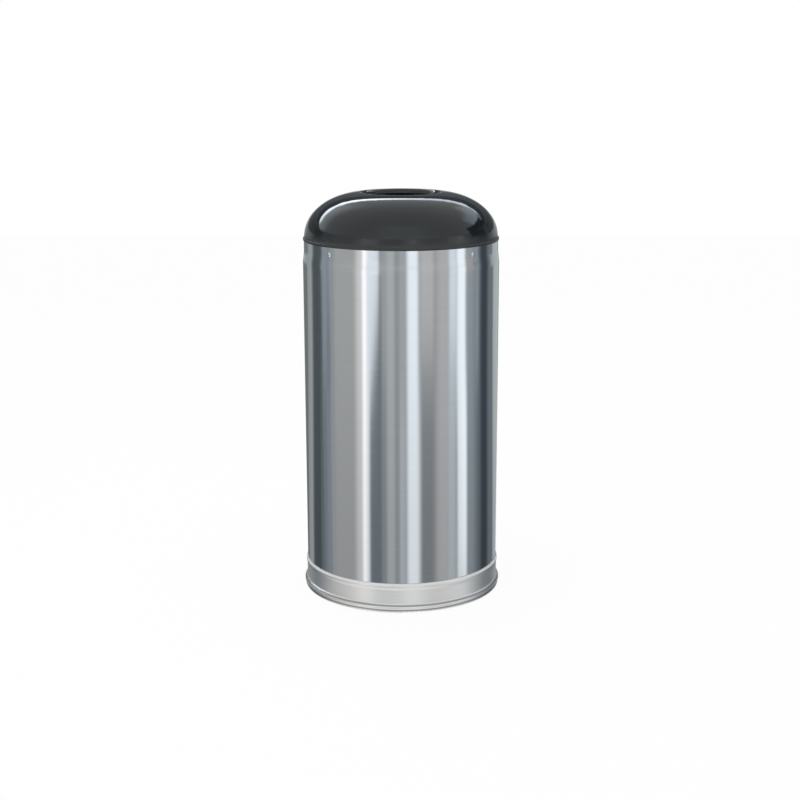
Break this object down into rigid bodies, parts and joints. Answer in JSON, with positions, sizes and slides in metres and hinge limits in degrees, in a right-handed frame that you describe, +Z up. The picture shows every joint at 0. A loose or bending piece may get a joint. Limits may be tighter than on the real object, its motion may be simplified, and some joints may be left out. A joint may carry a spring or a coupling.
{
  "type": "litter bin",
  "caption": "Round floor-standing litter bin: stainless cylinder on a foot ring, black domed lift-off lid with a round throat, and a lift-out metal liner.",
  "frame": {"origin": "centre of the bin's foot on the floor", "axes": "+Z up along the bin's axis, -Y towards the front, +Y towards the shell's seam"},
  "size_m": [0.381, 0.381, 0.7617],
  "materials": {
    "shell_stainless": "satin stainless, fine grain round the bin, near-mirror streaks",
    "ring_stainless": "satin stainless, softer than the shell",
    "black_gloss": "gloss black powder coat",
    "black_inner": "black powder coat",
    "plated_steel": "zinc plated",
    "rivet_steel": "bright",
    "galvanised": "hot-dip galvanised with spangle",
    "rubber_black": "matt",
    "pad_nylon": "moulded nylon"
  },
  "bodies": {
    "bin_body": {"outer_shell": "shell_stainless", "support_ring": "plated_steel", "ring_rivets": "rivet_steel", "foot_ring": "ring_stainless", "floor_pan": "plated_steel", "weld_nuts": "plated_steel"},
    "lid": {"dome_lid": "black_gloss", "lid_locating_ring": "black_inner", "lid_bumpers": "rubber_black"},
    "liner": {"liner_wall": "galvanised", "liner_rim_wire": "galvanised", "liner_bottom": "galvanised", "right_bail_ear": "galvanised", "left_bail_ear": "galvanised", "ear_rivets": "rivet_steel"},
    "bail": {"bail_handle": "plated_steel"},
    "back_right_pad": {"back_right_foot_pad": "pad_nylon"},
    "back_right_stud": {"back_right_foot_stud": "plated_steel"},
    "back_left_pad": {"back_left_foot_pad": "pad_nylon"},
    "back_left_stud": {"back_left_foot_stud": "plated_steel"},
    "front_left_pad": {"front_left_foot_pad": "pad_nylon"},
    "front_left_stud": {"front_left_foot_stud": "plated_steel"},
    "front_right_pad": {"front_right_foot_pad": "pad_nylon"},
    "front_right_stud": {"front_right_foot_stud": "plated_steel"}
  },
  "joints": [
    {"name": "lid_lift", "type": "slide", "parent": "bin_body", "child": "lid", "axis": [0, 0, 1], "range_m": [0, 0.92]},
    {"name": "liner_lift", "type": "slide", "parent": "bin_body", "child": "liner", "axis": [0, 0, 1], "range_m": [0, 0.66]},
    {"name": "bail_swing", "type": "hinge", "parent": "liner", "child": "bail", "pos_m": [0, 0, 0.6454], "axis": [-1, 0, 0], "range_deg": [0, 180]},
    {"name": "back_right_foot_travel", "type": "slide", "parent": "bin_body", "child": "back_right_pad", "axis": [0, 0, -1], "range_m": [0, 0.012]},
    {"name": "back_right_foot_screw", "type": "hinge", "parent": "back_right_pad", "child": "back_right_stud", "pos_m": [0.11526, 0.11526, 0.012], "axis": [0, 0, -1], "range_deg": [0, 3450]},
    {"name": "back_left_foot_travel", "type": "slide", "parent": "bin_body", "child": "back_left_pad", "axis": [0, 0, -1], "range_m": [0, 0.012]},
    {"name": "back_left_foot_screw", "type": "hinge", "parent": "back_left_pad", "child": "back_left_stud", "pos_m": [-0.11526, 0.11526, 0.012], "axis": [0, 0, -1], "range_deg": [0, 3450]},
    {"name": "front_left_foot_travel", "type": "slide", "parent": "bin_body", "child": "front_left_pad", "axis": [0, 0, -1], "range_m": [0, 0.012]},
    {"name": "front_left_foot_screw", "type": "hinge", "parent": "front_left_pad", "child": "front_left_stud", "pos_m": [-0.11526, -0.11526, 0.012], "axis": [0, 0, -1], "range_deg": [0, 3450]},
    {"name": "front_right_foot_travel", "type": "slide", "parent": "bin_body", "child": "front_right_pad", "axis": [0, 0, -1], "range_m": [0, 0.012]},
    {"name": "front_right_foot_screw", "type": "hinge", "parent": "front_right_pad", "child": "front_right_stud", "pos_m": [0.11526, -0.11526, 0.012], "axis": [0, 0, -1], "range_deg": [0, 3450]}
  ],
  "couplings": [
    {"joint": "liner_lift", "follows": "lid_lift", "ratio": 0.71},
    {"joint": "bail_swing", "follows": "lid_lift", "rad_per_m": 1.7},
    {"joint": "back_right_foot_travel", "follows": "back_right_foot_screw", "m_per_rad": 0.00019894},
    {"joint": "back_left_foot_travel", "follows": "back_left_foot_screw", "m_per_rad": 0.00019894},
    {"joint": "front_left_foot_travel", "follows": "front_left_foot_screw", "m_per_rad": 0.00019894},
    {"joint": "front_right_foot_travel", "follows": "front_right_foot_screw", "m_per_rad": 0.00019894}
  ]
}
